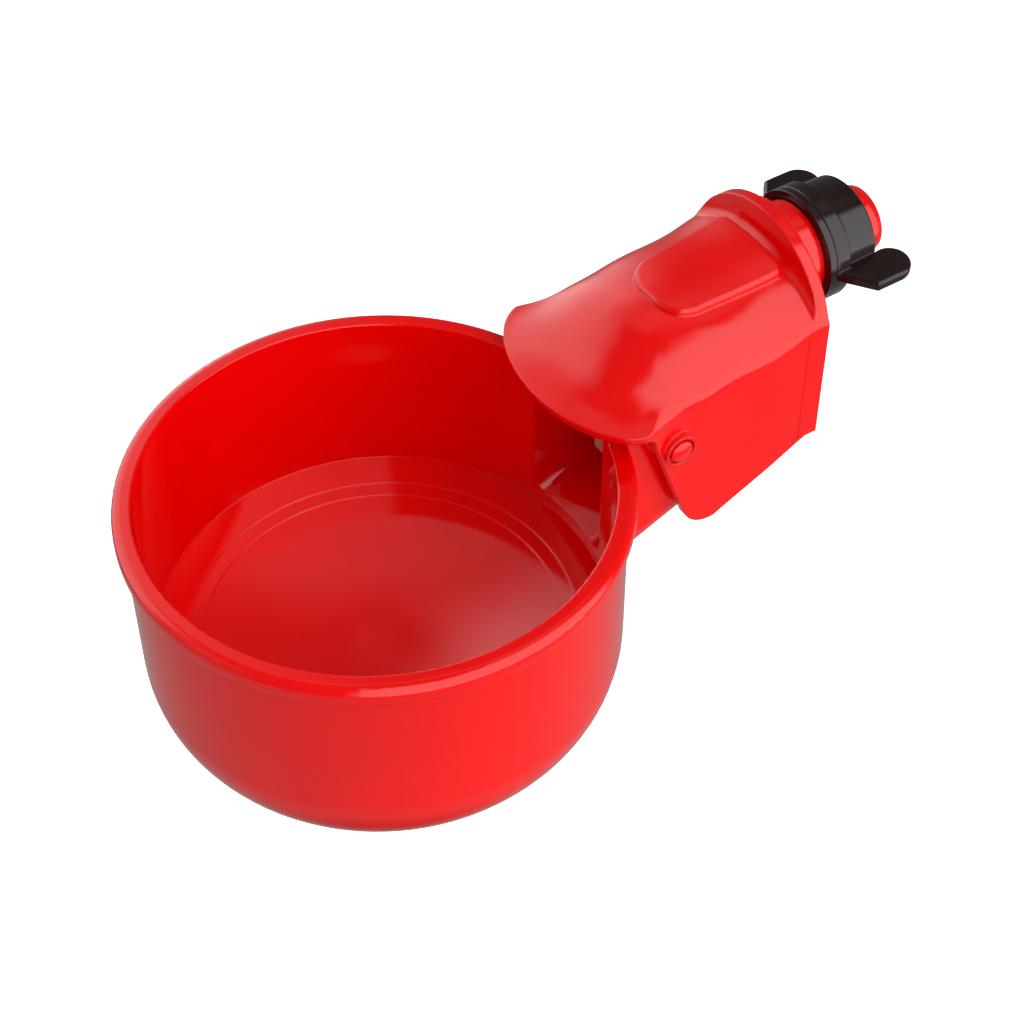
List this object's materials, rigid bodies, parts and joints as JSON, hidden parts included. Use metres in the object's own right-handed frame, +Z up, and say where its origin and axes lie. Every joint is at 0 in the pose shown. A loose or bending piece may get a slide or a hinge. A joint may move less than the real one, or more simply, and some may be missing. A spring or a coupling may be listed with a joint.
{
  "type": "automatic poultry drinking cup",
  "caption": "Round drinking cup hung under a hooded float valve, with a threaded inlet shank and a wing nut that clamps it to a bucket or tank wall.",
  "frame": {"origin": "on the axis of the inlet shank, at the back face of the housing's flange, where it meets the outside of the tank's wall", "axes": "+Y runs along the shank, out of the flange and into the tank; -Y is towards the bowl; +Z is up; X is across, with the part symmetric left to right apart from the wing nut's turn and thread"},
  "size_m": [0.09, 0.1503, 0.0735],
  "materials": {
    "housing_red": "moulded red plastic, glossy",
    "bowl_red": "moulded red plastic, glossy",
    "pin_red": "moulded red plastic, glossy",
    "gasket_rubber": "flat red silicone rubber",
    "seal_rubber": "soft black rubber",
    "nut_black": "moulded black plastic, semi-gloss",
    "nozzle_brass": "turned brass",
    "screen_white": "moulded white plastic",
    "lever_white": "moulded white plastic",
    "float_white": "moulded white plastic",
    "stainless": "turned stainless steel"
  },
  "bodies": {
    "housing": {"housing": "housing_red", "wall_gasket": "gasket_rubber", "valve_nozzle": "nozzle_brass", "nozzle_o_ring": "seal_rubber", "inlet_screen": "screen_white", "lever_axle": "stainless", "axle_clip_left": "stainless", "axle_clip_right": "stainless"},
    "bowl": {"bowl": "bowl_red", "pivot_pin_left": "pin_red", "pivot_pin_right": "pin_red"},
    "float": {"float_lever": "lever_white", "valve_pad": "seal_rubber", "float_shell": "float_white", "float_lid": "float_white", "float_screw": "stainless"},
    "washer": {"nut_washer": "nut_black"},
    "nut": {"wing_nut": "nut_black"}
  },
  "joints": [
    {"name": "bowl_tip", "type": "hinge", "parent": "housing", "child": "bowl", "pos_m": [0, -0.0326, -0.0148], "axis": [1, 0, 0], "range_deg": [0, 15]},
    {"name": "float_rise", "type": "hinge", "parent": "housing", "child": "float", "pos_m": [0, -0.0136, -0.0092], "axis": [-1, 0, 0], "range_deg": [0, 10]},
    {"name": "nut_travel", "type": "slide", "parent": "housing", "child": "washer", "axis": [0, 1, 0], "range_m": [-0.0036, 0.009]},
    {"name": "nut_spin", "type": "hinge", "parent": "washer", "child": "nut", "pos_m": [0, 0.012, 0], "axis": [0, 1, 0], "range_deg": [-432, 1080]}
  ],
  "couplings": [
    {"joint": "nut_travel", "follows": "nut_spin", "m_per_rad": 0.00047746}
  ]
}
